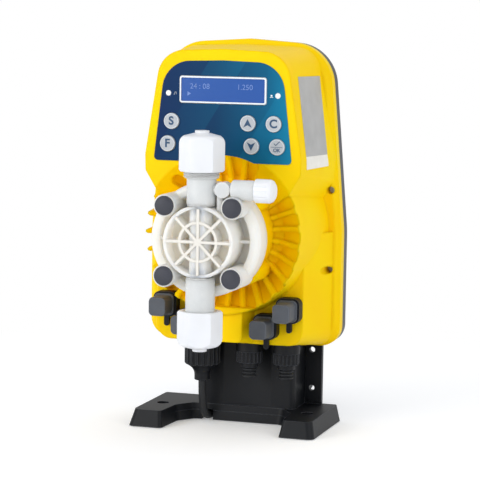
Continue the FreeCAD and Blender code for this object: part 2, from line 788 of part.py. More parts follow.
def disc_springs(inner, outer, start, end, count):
    """A stack of thin spring discs, joined in turn at their outer and inner edges."""
    thickness = 0.5
    pitch = (end - start - thickness) / (count - 1)
    rings = []
    for k in range(count):
        y = start + k * pitch
        rings.append(ring_y(outer, inner, y, y + thickness))
        if k < count - 1:
            edge = outer if k % 2 == 0 else inner + thickness
            rings.append(ring_y(edge, edge - thickness, y, y + pitch + thickness))
    return fuse(rings)


def make_valves():
    centre = at(0, valve_y, pump_axis_z)
    lower_end = valve_seat_h + valve_gasket

    def body_profile(thread_start):
        return [(0, valve_seat_h - socket_depth), (spigot_r, valve_seat_h - socket_depth),
                (spigot_r, lower_end), (valve_r, lower_end), (valve_r, thread_start),
                (thread_r - 0.8, thread_start), (thread_r, thread_start + 0.8),
                (thread_r, thread_end_h - 0.8), (thread_r - 0.8, thread_end_h), (0, thread_end_h)]

    gaskets = []
    for side in (-1, 1):
        gaskets.append(tube(valve_r - 0.2, spigot_r + running_gap,
                            at(0, valve_y, level(side * valve_seat_h)),
                            at(0, valve_y, level(side * lower_end))))
    save("valve_gaskets", *gaskets)

    lift = math.sqrt(ball_r ** 2 - port_r ** 2) + 0.02
    seat_bottom = valve_seat_h - socket_depth
    seat_top = 35.0
    stop_h = seat_top + lift + ball_r + ball_lift + 0.1
    bleed_boss = rod(bleed_port_r, at(4, valve_y, level(bleed_h)), at(bleed_seat_x, valve_y, level(bleed_h)))
    discharge = fuse([turned(body_profile(thread_start_h), centre, up), bleed_boss])
    discharge = discharge.cut([
        rod(seat_r + running_gap, at(0, valve_y, level(seat_bottom - 1)), at(0, valve_y, level(seat_top))),
        rod(ball_room_r, at(0, valve_y, level(seat_top)), at(0, valve_y, level(stop_h))),
        rod(port_r, at(0, valve_y, level(stop_h)), at(0, valve_y, level(thread_end_h + 1))),
        rod(1.5, at(3, valve_y, level(bleed_h)), at(bleed_seat_x + 1, valve_y, level(bleed_h)))])
    save("discharge_valve_body", discharge)
    high_seat = tube(seat_r, port_r, at(0, valve_y, level(seat_bottom)), at(0, valve_y, level(seat_top)))
    save("discharge_ball", Part.makeSphere(ball_r, at(0, valve_y, level(seat_top + lift))))

    down = [(r, -h) for r, h in body_profile(nut_start_h)]
    low_seat_top = -43.0
    low_stop = low_seat_top + lift + ball_r + ball_lift + 0.1
    suction = turned(down, centre, up).cut([
        rod(port_r, at(0, valve_y, level(low_stop)), at(0, valve_y, level(1 - seat_bottom))),
        rod(ball_room_r, at(0, valve_y, level(low_seat_top)), at(0, valve_y, level(low_stop))),
        rod(seat_r + running_gap, at(0, valve_y, level(-thread_end_h - 1)), at(0, valve_y, level(low_seat_top)))])
    save("suction_valve_body", suction)
    low_seat = tube(seat_r, port_r, at(0, valve_y, level(-thread_end_h)),
                    at(0, valve_y, level(low_seat_top)))
    save("valve_seats", high_seat, low_seat)
    save("suction_ball", Part.makeSphere(ball_r, at(0, valve_y, level(low_seat_top + lift))))

    nipples = []
    for node, side in (("discharge_hose_nut", 1), ("suction_hose_nut", -1)):
        save(node, hose_nut(side))
        profile = [(port_r - 1.2, thread_end_h), (9.0, thread_end_h), (9.0, thread_end_h + 2),
                   (hose_r, thread_end_h + 2), (nipple_r, thread_end_h + 10),
                   (port_r - 1.2, thread_end_h + 10)]
        nipples.append(turned([(r, side * h) for r, h in profile], centre, up))
    save("hose_nipples", *nipples)


def hose_nut(side):
    """Domed hexagon cap nut with a threaded bore and a hose hole through its boss."""
    centre = at(0, valve_y, pump_axis_z)
    points = [at(nut_corner_r * math.cos(math.radians(60 * k + nut_turn)),
                 valve_y + nut_corner_r * math.sin(math.radians(60 * k + nut_turn)),
                 level(side * nut_start_h)) for k in range(6)]
    prism = Part.Face(Part.makePolygon(points + [points[0]])).extrude(
        at(0, 0, side * (nut_end_h - nut_start_h)))
    arc_r, arc_h = nut_corner_r - nut_shoulder_r, nut_end_h - nut_shoulder_r - 1
    arc = [(arc_r + nut_shoulder_r * math.cos(math.radians(a)),
            arc_h + nut_shoulder_r * math.sin(math.radians(a))) for a in range(0, 61, 12)]
    profile = [(0, nut_start_h), (nut_corner_r - 1.2, nut_start_h), (nut_corner_r, nut_start_h + 1.2)]
    profile += arc + [(nut_boss_r + 1, nut_end_h), (0, nut_end_h)]
    dome = turned([(r, side * h) for r, h in profile], centre, up)
    boss = rod(nut_boss_r, at(0, valve_y, level(side * (nut_end_h - 1))),
               at(0, valve_y, level(side * nut_boss_h)))
    bore = turned([(0, side * (nut_start_h - 1)), (thread_r + running_gap, side * (nut_start_h - 1)),
                   (thread_r + running_gap, side * (thread_end_h + 0.5)),
                   (9.6, side * (thread_end_h + 2.5)), (9.6, side * (thread_end_h + 4)),
                   (hose_r, side * (thread_end_h + 10.4)), (hose_r, side * (nut_boss_h + 1)),
                   (0, side * (nut_boss_h + 1))], centre, up)
    return fuse([prism.common(dome), boss]).cut(bore)


def make_bleed_valve():
    centre = at(0, valve_y, level(bleed_h))

    def along_x(r, x0, x1):
        return rod(r, at(x0, valve_y, level(bleed_h)), at(x1, valve_y, level(bleed_h)))

    start, end = bleed_body_x
    profile = [(0, bleed_seat_x), (bleed_port_r, bleed_seat_x), (bleed_port_r, start - 1),
               (bleed_body_r - 1, start - 1), (bleed_body_r, start), (bleed_body_r, end - 0.5),
               (bleed_body_r - 0.5, end), (0, end)]
    vent = cylinder_y(vent_r, vent_front_y, valve_y + bleed_port_r - 1.2, vent_x, level(bleed_h))
    drain_end, drain_top = at(drain_x, drain_y, level(15)), at(drain_x, drain_y, level(bleed_h))
    drain = rod(drain_r, drain_end, drain_top)
    drain = drain.cut(cylinder_y(ring_out + bleed_clearance, ring_front_y - 1, head_back_y))
    body = fuse([turned(profile, centre, right), vent, drain])
    body = body.cut([along_x(1.5, bleed_seat_x - 1, start + 2),
                     along_x(needle_r + running_gap, start + 2, end + 1),
                     rod(drain_bore_r, drain_end, drain_top)])
    save("bleed_valve_body", body)

    face = end + bleed_clearance
    tip = face + knob_length
    knob = turned([(0, face), (knob_r, face), (knob_r, tip - 3.5), (knob_r - 0.9, tip - 1.4),
                   (knob_r - 3, tip), (0, tip)], centre, right)
    flutes = []
    for k in range(knob_flutes):
        angle = 2 * math.pi * k / knob_flutes
        y = valve_y + (knob_r + 0.5) * math.cos(angle)
        z = level(bleed_h) + (knob_r + 0.5) * math.sin(angle)
        flutes.append(rod(1.0, at(face - 1, y, z), at(tip - 4, y, z)))
    save("bleed_knob", fuse([knob.cut(flutes), along_x(needle_r, start + 3, face)]))


def make_sockets():
    sockets = []
    for node, (x, z) in socket_places.items():
        base = plate(oblong(socket_width, socket_height, socket_corner, (x, z)),
                     socket_front_y, lower_front_y)
        plug_w, plug_h = cap_width - 2 * cap_wall - 2 * cap_gap, cap_height - 2 * cap_wall - 2 * cap_gap
        plug = plate(oblong(plug_w, plug_h, 2.0, (x, z)), cap_front_y + cap_wall + cap_gap, socket_front_y)
        contacts = [cylinder_y(0.9, cap_front_y, cap_front_y + cap_wall + 9, x + a, z + b)
                    for a in (-2.2, 2.2) for b in (-2.2, 2.2)]
        tab = plate(oblong(tab_width, tab_length + 4, tab_width / 2 - 0.1,
                           (x, z - (socket_height + tab_length - 4) / 2)),
                    lower_front_y - tab_gap - tab_thickness, lower_front_y - tab_gap)
        sockets.append(fuse([base, plug, tab]).cut(contacts))
        skirt_w, skirt_h = cap_width + 2, cap_height + 2
        cover = loft(upright(oblong(cap_width - 0.8, cap_height - 0.8, 3.2, (x, z)), cap_front_y),
                     upright(oblong(cap_width, cap_height, 3.5, (x, z)), cap_front_y + 1.2))
        shaft = plate(oblong(cap_width, cap_height, 3.5, (x, z)), cap_front_y + 1.2, socket_front_y - cap_gap)
        skirt = plate(oblong(skirt_w, skirt_h, 3.5, (x, z)), socket_front_y - cap_skirt, socket_front_y - cap_gap)
        room = plate(oblong(cap_width - 2 * cap_wall, cap_height - 2 * cap_wall, 2.2, (x, z)),
                     cap_front_y + cap_wall, socket_front_y + 1)
        save(node, fuse([cover, shaft, skirt]).cut(room))
    save("signal_sockets", *sockets)


def fluted(shape, x, r, z0, z1, flute_r, bite):
    """Cut vertical finger flutes into a round nut."""
    cutters = []
    for k in range(flute_count):
        angle = 2 * math.pi * k / flute_count
        cx = x + (r + flute_r - bite) * math.cos(angle)
        cy = gland_y + (r + flute_r - bite) * math.sin(angle)
        cutters.append(rod(flute_r, at(cx, cy, z0), at(cx, cy, z1)))
    return shape.cut(cutters)


def make_glands():
    x = power_gland_x
    low, high = power_nut_z
    centre = at(x, gland_y, 0)
    thread = 9.0
    body = turned([(0, low + 5), (thread, low + 5), (thread, high + 0.3), (power_nut_r - 0.6, high + 0.3),
                   (power_nut_r - 0.6, gland_seat_z), (8.0, gland_seat_z), (8.0, gland_seat_z + 10),
                   (0, gland_seat_z + 10)], centre, up)
    bodies = [body.cut(rod(5.5, at(x, gland_y, 0), at(x, gland_y, gland_seat_z + 11)))]
    bell = [(power_end_r + (power_nut_r - 0.8 - power_end_r) * t ** 3, power_end_z + 3 + (low - power_end_z - 3) * t)
            for t in (0.0, 0.25, 0.45, 0.65, 0.8, 0.92, 1.0)]
    nut = turned([(0, power_end_z), (power_end_r - 0.5, power_end_z), (power_end_r, power_end_z + 0.5)]
                 + bell + [(power_nut_r, low + 1), (power_nut_r, high), (0, high)], centre, up)
    bore = turned([(0, power_end_z - 1), (cord_r + 0.8, power_end_z - 1), (cord_r + 0.8, power_end_z),
                   (cord_r + 0.2, power_end_z + 2), (cord_r + 0.2, low - 3),
                   (thread + running_gap, low + 2), (thread + running_gap, high + 1), (0, high + 1)],
                  centre, up)
    save("power_gland_nut", fluted(nut, x, power_nut_r, low - 1, high + 1, 1.5, 1.3).cut(bore))
    save("power_gland_seal", tube(5.4, cord_r, at(x, gland_y, low + 6), at(x, gland_y, high)))

    boots = []
    low, high = signal_nut_z
    for x, node in zip(signal_gland_x, ("signal_gland_nut_left", "signal_gland_nut_right")):
        centre = at(x, gland_y, 0)
        body = turned([(0, low + 2), (7.5, low + 2), (7.5, high + 0.3), (signal_nut_r + 0.4, high + 0.3),
                       (signal_nut_r + 0.4, gland_seat_z), (6.5, gland_seat_z), (6.5, gland_seat_z + 9),
                       (0, gland_seat_z + 9)], centre, up)
        bodies.append(body.cut(rod(4.6, at(x, gland_y, 0), at(x, gland_y, gland_seat_z + 10))))
        nut = turned([(0, signal_ring_z), (6.6, signal_ring_z), (6.6, low), (signal_nut_r - 0.8, low),
                      (signal_nut_r, low + 0.8), (signal_nut_r, high), (0, high)], centre, up)
        bore = turned([(0, signal_ring_z - 1), (4.7, signal_ring_z - 1), (4.7, low),
                       (7.5 + running_gap, low + 1.5), (7.5 + running_gap, high + 1), (0, high + 1)],
                      centre, up)
        save(node, fluted(nut, x, signal_nut_r, low + 0.5, high + 1, 1.3, 0.8).cut(bore))
        ridges = [(0, boot_end_z)]
        pitch = (signal_ring_z - 0.3 - boot_end_z) / 3
        for k in range(3):
            z = boot_end_z + k * pitch
            ridges += [(boot_r - 1.2, z), (boot_r, z + 0.35 * pitch), (boot_r, z + 0.65 * pitch),
                       (boot_r - 1.2, z + 0.95 * pitch)]
        ridges += [(4.5, signal_ring_z - 0.3), (4.5, high + 4), (0, high + 4)]
        boots.append(turned(ridges, centre, up))
    save("gland_bodies", *bodies)
    save("signal_gland_boots", *boots)


def make_stand():
    inner = base_half - foot_width

    def plan(rise, step=0.0):
        """Base outline seen from above, two feet joined by the crossbar; rise is 0 at the bottom, 1 on top."""
        a, b = base_half - base_draft * rise, inner + 2 * rise
        front, bar = foot_front_y + front_draft * rise, crossbar_y + crossbar_draft * rise + step
        return [(a, front, 5.0), (a, wall_y, 2.0), (-a, wall_y, 2.0), (-a, front, 5.0),
                (-b + 2, front, 3.0), (-b + 4, bar - 14, 8.0), (-b + 14, bar, 6.0),
                (b - 14, bar, 6.0), (b - 4, bar - 14, 8.0), (b - 2, front, 3.0)]

    share = (ledge_z - pad_height) / (base_top - pad_height)
    low_base = loft(flat(plan(0), pad_height), flat(plan(share), ledge_z))
    base = low_base.fuse(loft(flat(plan(share, ledge), ledge_z), flat(plan(1, ledge), base_top)))
    x0, x1 = column_x
    column = slab([(x0, column_front_y, 4.0), (x1, column_front_y, 4.0), (x1, wall_y, 0.0),
                   (x0, wall_y, 0.0)], base_top - 1, body_bottom)
    ear = block((x1 - 1, ear_half), (wall_y - ear_thickness, wall_y), (base_top - 1, body_bottom))
    pad = plate([(ear_half, body_bottom, 0), (ear_half, base_top + 2, 0.8), (x1 + 0.5, base_top + 2, 6.0),
                 (x1 + 0.5, body_bottom, 0)], wall_y - ear_thickness - 1.0, wall_y - 1)
    stand = fuse([base, column, ear, pad])

    trough = rod(column_hollow_r, at((x0 + x1) / 2, column_front_y + 2.2 - column_hollow_r, base_top),
                 at((x0 + x1) / 2, column_front_y + 2.2 - column_hollow_r, body_bottom + 1))
    room = block((x0 + column_wall, x1 - column_wall), (column_front_y + 2.2 + column_wall, wall_y + 1),
                 (base_top + 2, body_bottom - 4))
    cuts = [trough, room]
    cuts.append(block((power_gland_x - notch_width / 2, power_gland_x + notch_width / 2),
                      (crossbar_y - 1, wall_y + 1), (0, notch_height)))
    for side in (-1, 1):
        x, y = side * foot_hole[0], foot_hole[1]
        cuts.append(rod(foot_hole_r, at(x, y, 0), at(x, y, base_top + 1)))
        cuts.append(rod(foot_sink_r, at(x, y, base_top - 4), at(x, y, base_top + 1)))
    cuts += [cylinder_y(ear_hole_r, wall_y - 10, wall_y + 1, ear_hole_x, z) for z in ear_hole_z]
    cuts += [rod(screw_r + 0.1, at(x, stand_screw_y(), body_bottom - 5),
                 at(x, stand_screw_y(), body_bottom + 1)) for x in stand_screw_x]
    cuts += [rod(pad_stem_r + running_gap, at(x, y, pad_height - 1), at(x, y, pad_height + pad_stem + 0.5))
             for x, y in both_sides(pad_places)]
    save("stand", stand.cut(cuts))

    pad_profile = [(0, 0), (pad_r - 0.4, 0), (pad_r, 0.4), (pad_r, pad_height), (pad_stem_r, pad_height),
                   (pad_stem_r, pad_height + pad_stem), (0, pad_height + pad_stem)]
    save("foot_pads", *[turned(pad_profile, at(x, y, 0), up) for x, y in both_sides(pad_places)])
    screws = [pan_screw(at(x, stand_screw_y(), body_bottom - 4), up, 11) for x in stand_screw_x]
    save("stand_screws", *screws)


def cord_tube(route, radius):
    """A round tube along straight runs joined by tangent arcs, and the arcs' radii."""
    points = [at(*p) for p in route]
    edges, radii = [], []
    start = points[0]
    for before, here, after in zip(points, points[1:], points[2:]):
        into, out = here - before, after - here
        shorter = min(into.Length, out.Length)
        turn = into.getAngle(out)
        reach = 0.45 * shorter
        arc_r = reach / math.tan(turn / 2)
        radii.append(arc_r)
        into.normalize()
        out.normalize()
        first, last = here - into * reach, here + out * reach
        bisector = (out - into).normalize()
        middle = here + bisector * (arc_r / math.cos(turn / 2) - arc_r)
        edges.append(Part.makeLine(start, first))
        edges.append(Part.Arc(first, middle, last).toShape())
        start = last
    edges.append(Part.makeLine(start, points[-1]))
    path = Part.Wire(edges)
    way = points[1] - points[0]
    ring = Part.Wire(Part.makeCircle(radius, points[0], way))
    solid = path.makePipeShell([ring], True, False, 2)
    print("cord radii", [round(r, 1) for r in radii], "length", round(path.Length, 1),
          "volume ratio", round(solid.Volume / (math.pi * radius ** 2 * path.Length), 4))
    return solid


def cord_route():
    x, y = power_gland_x, gland_y
    lie = cord_r + 0.2
    edge_x = coil_centre[0] - coil_mean_r - coil_half_width + cord_r
    return [(x, y, 50.0), (x, y + 0.2, 32.0), (x, y + 1.5, 17.0), (x, y + 6.5, 6.6),
            (x, y + 17.0, lie), (x, y + 34.0, lie), (x - 1.5, y + 54.0, lie),
            (edge_x + 6.0, y + 73.0, lie), (edge_x, coil_centre[1] - 8, lie)]


def make_cord():
    save("power_cord", cord_tube(cord_route(), cord_r))
    cx, cy = coil_centre
    outer, inner = coil_mean_r + coil_half_width, coil_mean_r - coil_half_width
    save("cord_coil", tube(outer, inner, at(cx, cy, 0), at(cx, cy, coil_height)))
    save("power_plug", *plug(cx - coil_mean_r + 2 * cord_r, cy, coil_height + cord_r))


def plug(x, y, z):
    """A moulded two-pin plug lying on the coil, its boot towards the cord and its pins to the back."""
    centre_z = z - cord_r + plug_height / 2
    boot_end = y + plug_boot
    end = boot_end + plug_grip
    boot = Part.makeCone(cord_r + 0.8, 5.2, plug_boot + 1, at(x, y, centre_z), back)
    grip = loft(upright(oblong(11.0, 10.0, 4.2, (x, centre_z)), boot_end),
                upright(oblong(20.0, 11.5, 4.8, (x, centre_z)), boot_end + plug_grip * 0.45),
                upright(oblong(plug_width, plug_height, 5.2, (x, centre_z)), end))
    pins = [cylinder_y(2.0, end, end + plug_pin_length, x + side * plug_pin_pitch / 2, centre_z)
            for side in (-1, 1)]
    return [fuse([boot, grip])] + pins


make_housing()
make_console()
make_head()
make_drive()
make_valves()
make_bleed_valve()
make_sockets()
make_glands()
make_stand()
make_cord()
print("origin to face plane", round(origin_y, 3), "nut reach", round(nut_reach, 2))
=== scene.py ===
import math

import bpy
import numpy as np
from mathutils import Matrix, Vector


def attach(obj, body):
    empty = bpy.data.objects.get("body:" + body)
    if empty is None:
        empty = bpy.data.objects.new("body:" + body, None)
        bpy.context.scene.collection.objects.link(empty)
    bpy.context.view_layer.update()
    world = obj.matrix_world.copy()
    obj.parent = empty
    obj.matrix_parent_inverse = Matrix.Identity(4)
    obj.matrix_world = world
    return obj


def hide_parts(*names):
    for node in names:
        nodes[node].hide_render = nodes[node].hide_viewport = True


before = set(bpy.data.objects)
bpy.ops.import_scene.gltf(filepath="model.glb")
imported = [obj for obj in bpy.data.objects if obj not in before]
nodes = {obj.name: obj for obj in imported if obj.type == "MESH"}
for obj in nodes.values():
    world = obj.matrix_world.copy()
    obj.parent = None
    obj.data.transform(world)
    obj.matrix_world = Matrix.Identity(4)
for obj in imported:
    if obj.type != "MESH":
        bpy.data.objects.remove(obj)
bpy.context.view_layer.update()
mm = 0.001
facePlane = -9.061  # where the console's face lies on Y, in mm
pumpAxis = 150.8  # height of the pump's axis, in mm
print("frame loaded:", len(nodes), "nodes")


def linear(hexColour):
    # an sRGB hex value as linear red, green, blue and alpha
    parts = [int(hexColour[i:i + 2], 16) / 255 for i in (1, 3, 5)]
    return [p / 12.92 if p <= 0.04045 else ((p + 0.055) / 1.055) ** 2.4 for p in parts] + [1.0]


def addNode(tree, kind, settings=None, **sockets):
    # one node; settings are its own options, sockets are values or another node's output
    node = tree.nodes.new(kind)
    for name, value in (settings or {}).items():
        setattr(node, name, value)
    for name, value in sockets.items():
        key = int(name[2:]) if name.startswith("in") and name[2:].isdigit() else name.replace("_", " ")
        if isinstance(value, bpy.types.NodeSocket):
            tree.links.new(value, node.inputs[key])
        else:
            node.inputs[key].default_value = value
    return node


def newMaterial(name):
    # an empty material with its tree, a Principled shader and Object coordinates
    material = bpy.data.materials.new(name)
    material.use_nodes = True
    tree = material.node_tree
    tree.nodes.clear()
    shader = addNode(tree, "ShaderNodeBsdfPrincipled")
    addNode(tree, "ShaderNodeOutputMaterial", Surface=shader.outputs["BSDF"])
    place = addNode(tree, "ShaderNodeTexCoord").outputs["Object"]
    return material, tree, shader, place


def ramp(tree, factor, stops):
    # a colour ramp with (position, hex) stops
    node = addNode(tree, "ShaderNodeValToRGB", Fac=factor)
    elements = node.color_ramp.elements
    elements[0].position, elements[0].color = stops[0][0], linear(stops[0][1])
    elements[1].position, elements[1].color = stops[-1][0], linear(stops[-1][1])
    for position, colour in stops[1:-1]:
        elements.new(position).color = linear(colour)
    return node.outputs["Color"]


# where the darker and the lighter tone lie on the noise, how far gloss drifts, how deep grain goes as a share
# of its size, and between which cosines of the rounded and the plain normal an edge takes the painted
# highlight
surface = dict(tones=(0.3, 0.7), plasticGloss=0.06, metalGloss=0.08, grainDepth=0.25, edge=(0.99, 0.82))


def roundedEdges(tree, radius):
    # moulded corners: the normal is averaged over the radius, and where it leaves the face there is an edge
    soft = addNode(tree, "ShaderNodeBevel", dict(samples=4), Radius=radius * mm)
    face = addNode(tree, "ShaderNodeNewGeometry")
    match = addNode(tree, "ShaderNodeVectorMath", dict(operation="DOT_PRODUCT"), in0=soft.outputs["Normal"],
                    in1=face.outputs["True Normal"])
    edge = addNode(tree, "ShaderNodeMapRange", Value=match.outputs["Value"], From_Min=surface["edge"][0],
                   From_Max=surface["edge"][1])
    return soft.outputs["Normal"], edge.outputs["Result"]


def mouldedPlastic(name, look):
    # injection-moulded plastic: a slight drift of tone, spark-eroded grain, soft gloss and painted edge
    # highlights
    material, tree, shader, place = newMaterial(name)
    drift = addNode(tree, "ShaderNodeTexNoise", Vector=place, Scale=1 / (look["driftSize"] * mm), Detail=2.0)
    shade = ramp(tree, drift.outputs["Fac"], list(zip(surface["tones"], (look["dark"], look["light"]))))
    grain = addNode(tree, "ShaderNodeTexNoise", Vector=place, Scale=1 / (look["grainSize"] * mm), Detail=3.0)
    gloss = addNode(tree, "ShaderNodeMapRange", Value=grain.outputs["Fac"],
                    To_Min=look["roughness"] - surface["plasticGloss"],
                    To_Max=look["roughness"] + surface["plasticGloss"])
    normal, edge = roundedEdges(tree, look.get("corner", 0.5))
    bump = addNode(tree, "ShaderNodeBump", Height=grain.outputs["Fac"], Strength=look["bump"],
                   Distance=look["grainSize"] * mm * surface["grainDepth"], Normal=normal)
    # painted highlight: a lighter colour is mixed in along the edges, where the rounded normal leaves the
    # face
    if look.get("edgeHighlight"):
        edgeHighlightShare = addNode(tree, "ShaderNodeMath", dict(operation="MULTIPLY"), in0=edge, in1=look["edgeHighlightAmount"])
        shade = addNode(tree, "ShaderNodeMix", dict(data_type="RGBA"), Factor=edgeHighlightShare.outputs["Value"],
                        in6=shade, in7=linear(look["edgeHighlight"])).outputs[2]
    if look.get("glow"):
        shader.inputs["Emission Color"].default_value = linear(look["light"])
        shader.inputs["Emission Strength"].default_value = look["glow"]
    tree.links.new(shade, shader.inputs["Base Color"])
    tree.links.new(gloss.outputs["Result"], shader.inputs["Roughness"])
    tree.links.new(bump.outputs["Normal"], shader.inputs["Normal"])
    shader.inputs["IOR"].default_value = look.get("ior", 1.5)
    shader.inputs["Specular IOR Level"].default_value = look.get("shine", 0.5)
    if look.get("depth"):
        shader.inputs["Subsurface Weight"].default_value = look["depthWeight"]
        shader.inputs["Subsurface Scale"].default_value = look["depth"] * mm
        shader.inputs["Subsurface Radius"].default_value = look["glowThrough"]
    return material


def machinedMetal(name, look):
    # turned or rolled metal: fine lines round the piece break up the reflection
    material, tree, shader, place = newMaterial(name)
    wave = addNode(tree, "ShaderNodeTexNoise", Vector=place, Scale=1 / (look["lineSize"] * mm), Detail=4.0)
    shade = ramp(tree, wave.outputs["Fac"], list(zip(surface["tones"], (look["dark"], look["light"]))))
    gloss = addNode(tree, "ShaderNodeMapRange", Value=wave.outputs["Fac"],
                    To_Min=look["roughness"] - surface["metalGloss"],
                    To_Max=look["roughness"] + surface["metalGloss"])
    tree.links.new(shade, shader.inputs["Base Color"])
    tree.links.new(gloss.outputs["Result"], shader.inputs["Roughness"])
    shader.inputs["Metallic"].default_value = 1.0
    return material


# plastics of the pump, each named for what it is; a lighter edge colour in one is a painted highlight
plastics = {
    # glass-filled polypropylene, warm yellow, satin from a fine eroded mould
    "yellowPolypropylene": dict(light="#FFDA00", dark="#FFCF00", driftSize=70, grainSize=0.7, roughness=0.46,
                                bump=0.1, depth=3.0, depthWeight=0.3, glowThrough=(1.0, 0.7, 0.05),
                                corner=2.6, shine=0.08),
    # glass-filled nylon of the stand and the glands, near black with a grey sheen and painted edge highlights
    "blackNylon": dict(light="#0F1217", dark="#0A0C11", driftSize=40, grainSize=0.6, roughness=0.46,
                       bump=0.2, corner=0.6, edgeHighlight="#5C6068", edgeHighlightAmount=0.7, shine=0.24),
    # thermoplastic rubber of the bolt caps, matt blue grey, and the paler one of the socket caps
    "greyRubber": dict(light="#3B3D47", dark="#33353E", driftSize=14, grainSize=0.5, roughness=0.6, bump=0.2,
                       corner=0.8, edgeHighlight="#5F626B", edgeHighlightAmount=0.4),
    "paleRubber": dict(light="#50555D", dark="#474B53", driftSize=14, grainSize=0.5, roughness=0.6, bump=0.2,
                       corner=0.8, edgeHighlight="#858A93", edgeHighlightAmount=0.6),
    # softer black rubber of the boots, pads and seal
    "blackRubber": dict(light="#1B1D20", dark="#141619", driftSize=20, grainSize=0.6, roughness=0.62,
                        bump=0.25, corner=0.4, edgeHighlight="#4C4E54", edgeHighlightAmount=0.6, shine=0.4),
    # dark grey back and its gasket
    "greyNylon": dict(light="#46484D", dark="#3F4146", driftSize=30, grainSize=0.6, roughness=0.5, bump=0.2,
                      corner=0.8, edgeHighlight="#6E7177", edgeHighlightAmount=0.7),
    # natural fluoropolymer of the head, waxy warm white that lets light in
    "naturalFluoropolymer": dict(light="#F8F4EC", dark="#F3EEE4", driftSize=30, grainSize=0.8, roughness=0.4,
                                 bump=0.06, depth=14.0, depthWeight=1.0, glowThrough=(1.0, 0.9, 0.76),
                                 corner=0.8, ior=1.38),
    # the same in walls too thin to glow, plain waxy white
    "thinFluoropolymer": dict(light="#E8E5DD", dark="#E2DED6", driftSize=30, grainSize=0.8, roughness=0.4,
                              bump=0.06, corner=0.5, ior=1.38),
    # the clearer grade of the valves, cooler and glossier
    "clearFluoropolymer": dict(light="#DADCDC", dark="#D0D3D4", driftSize=12, grainSize=1.0, roughness=0.26,
                               bump=0.05, depth=6.0, depthWeight=0.8, glowThrough=(0.9, 0.95, 1.0),
                               corner=0.5, ior=1.38),
    # white nuts, smooth and a little waxy
    "whitePolypropylene": dict(light="#ECEEF3", dark="#E6E9EE", driftSize=25, grainSize=0.8, roughness=0.33,
                               bump=0.04, depth=3.0, depthWeight=0.4, glowThrough=(1.0, 1.0, 1.0),
                               corner=1.2),
    # silver-grey paint on the key caps, and on their rims the same paint lighter as a painted highlight
    "silverKeys": dict(light="#B9BEC4", dark="#AEB3BA", driftSize=8, grainSize=0.3, roughness=0.4,
                       bump=0.06),
    "silverRimHighlight": dict(light="#D5DADF", dark="#CBD0D6", driftSize=8, grainSize=0.3, roughness=0.3,
                       bump=0.04),
    # satin silver frame of the display
    "silverBezel": dict(light="#F4F8FC", dark="#EBEFF5", driftSize=15, grainSize=0.4, roughness=0.3,
                        bump=0.03),
    # solder-masked board and its moulded parts, hidden inside
    "greenBoard": dict(light="#1E6B42", dark="#175636", driftSize=10, grainSize=0.4, roughness=0.35,
                       bump=0.1),
    "darkComponents": dict(light="#2B2B2E", dark="#202023", driftSize=8, grainSize=0.4, roughness=0.4,
                           bump=0.1),
    # alumina balls, and light pipes that are lit from behind
    "whiteCeramic": dict(light="#F3F1EA", dark="#EAE7DF", driftSize=5, grainSize=0.3, roughness=0.15,
                         bump=0.03),
    "lightPipe": dict(light="#FFFFFF", dark="#F2F6FA", driftSize=2, grainSize=0.2, roughness=0.2, bump=0.02,
                      glow=0.25),
    # satin polyester plate
    "silverPlate": dict(light="#B4B4B3", dark="#A9A9A8", driftSize=12, grainSize=0.3, roughness=0.42,
                        bump=0.04),
    "whiteFilm": dict(light="#EFEDE6", dark="#E6E3DB", driftSize=8, grainSize=0.3, roughness=0.45,
                      bump=0.03),
    # printed marks
    "blueInk": dict(light="#1C4A70", dark="#184064", driftSize=2, grainSize=0.15, roughness=0.45, bump=0.02),
    "whiteInk": dict(light="#FFFFFF", dark="#F3F6FA", driftSize=2, grainSize=0.15, roughness=0.45,
                     bump=0.02),
    "segmentInk": dict(light="#6A8ACB", dark="#6485C6", driftSize=2, grainSize=0.15, roughness=0.3,
                       bump=0.0),
}
metals = {
    "zincSteel": dict(light="#B9BBC0", dark="#A3A6AB", lineSize=0.3, roughness=0.35),
    "turnedBrass": dict(light="#D8B36A", dark="#C29C52", lineSize=0.3, roughness=0.3),
    "enamelledCopper": dict(light="#B5602F", dark="#93431C", lineSize=0.4, roughness=0.4),
}
looks = {name: mouldedPlastic(name, look) for name, look in plastics.items()}
looks.update({name: machinedMetal(name, look) for name, look in metals.items()})


film = dict(navy="#132C58", blue="#113A5F", teal="#0F5A7E", cyan="#1480A6", left=-58.0, right=56.0,
            bandAngle=-0.62, bandWidth=34.0, bandEdge=(19.5, 20.0), bandLift=0.28, grainSize=0.4,
            roughness=(0.3, 0.4), ior=1.58, shine=0.06)


